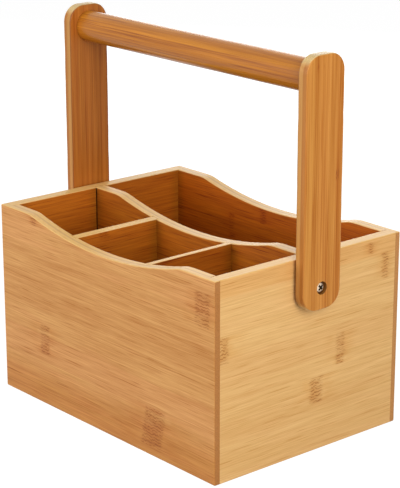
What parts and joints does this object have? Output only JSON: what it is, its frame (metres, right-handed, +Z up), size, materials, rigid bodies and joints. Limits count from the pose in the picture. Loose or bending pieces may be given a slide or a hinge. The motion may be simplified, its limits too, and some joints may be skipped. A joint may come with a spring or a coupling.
{
  "type": "utensil caddy",
  "caption": "Open bamboo utensil caddy with scalloped long boards, divided cells and a swinging carrying handle.",
  "frame": {"origin": "centre of the box's footprint on the table", "axes": "+X along the box towards its right end, -Y out of the front panel with the three short cells behind it, +Z up"},
  "size_m": [0.2714, 0.1784, 0.2925],
  "materials": {
    "bamboo_boards": "clear satin lacquer over carbonised bamboo",
    "bamboo_end_boards": "clear satin lacquer over lighter bamboo",
    "bamboo_handle": "clear satin lacquer over darker bamboo",
    "screw_steel": "zinc plated",
    "washer_nylon": "natural nylon"
  },
  "bodies": {
    "box": {"front_panel": "bamboo_boards", "back_panel": "bamboo_boards", "left_end_panel": "bamboo_end_boards", "right_end_panel": "bamboo_end_boards", "bottom_panel": "bamboo_boards", "long_divider": "bamboo_boards", "left_cross_divider": "bamboo_boards", "right_cross_divider": "bamboo_boards", "left_pivot_screw": "screw_steel", "right_pivot_screw": "screw_steel", "left_spacer_washer": "washer_nylon", "right_spacer_washer": "washer_nylon"},
    "handle": {"left_handle_arm": "bamboo_handle", "right_handle_arm": "bamboo_handle", "handle_grip": "bamboo_handle"}
  },
  "joints": [
    {"name": "handle_swing", "type": "hinge", "parent": "box", "child": "handle", "pos_m": [0, 0, 0.1275], "axis": [1, 0, 0], "range_deg": [-135, 135]}
  ]
}
